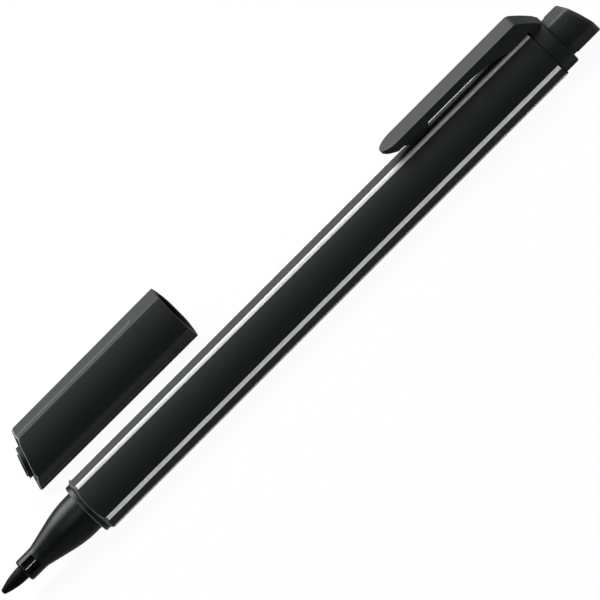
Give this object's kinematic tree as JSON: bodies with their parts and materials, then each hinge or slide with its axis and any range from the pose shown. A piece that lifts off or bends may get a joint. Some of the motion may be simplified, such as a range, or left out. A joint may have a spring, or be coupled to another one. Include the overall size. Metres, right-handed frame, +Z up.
{
  "type": "fineliner pen",
  "caption": "Black fineliner pen with wide curved and narrow flat faces, pale edge stripes, a tapered nose, a fibre nib, a sprung clip, and a vented push-on cap lying beside it.",
  "frame": {"origin": "on the table, under the middle of the box round the pen and its cap", "axes": "+X along the pen from nib to tail, +Y from the pen to the cap, +Z up through the clip"},
  "size_m": [0.1438, 0.0388, 0.0145],
  "materials": {
    "barrel_black": "satin",
    "moulded_black": "fine matte",
    "cap_black": "satin",
    "stripe_white": "satin",
    "nib_fibre": "matte",
    "ink_fibre": "soaked fibre",
    "film": "clear film"
  },
  "bodies": {
    "pen": {"barrel": "barrel_black", "edge_stripe_1": "stripe_white", "edge_stripe_2": "stripe_white", "edge_stripe_3": "stripe_white", "edge_stripe_4": "stripe_white", "edge_stripe_5": "stripe_white", "edge_stripe_6": "stripe_white", "front_section": "moulded_black", "nib": "nib_fibre", "reservoir_core": "ink_fibre", "reservoir_sleeve": "film", "clip_ring": "moulded_black", "tail_plug": "moulded_black"},
    "clip": {"clip_arm": "moulded_black"},
    "cap": {"cap_shell": "cap_black", "cap_liner": "moulded_black"}
  },
  "joints": [
    {"name": "clip_flex", "type": "hinge", "parent": "pen", "child": "clip", "pos_m": [0.06523, -0.01369, 0.01075], "axis": [0, 1, 0], "range_deg": [0, 5], "stiffness_Nm_per_rad": 0.05},
    {"name": "cap_slide", "type": "slide", "parent": "pen", "child": "cap", "axis": [-1, 0, 0], "range_m": [0, 0.02065]}
  ]
}
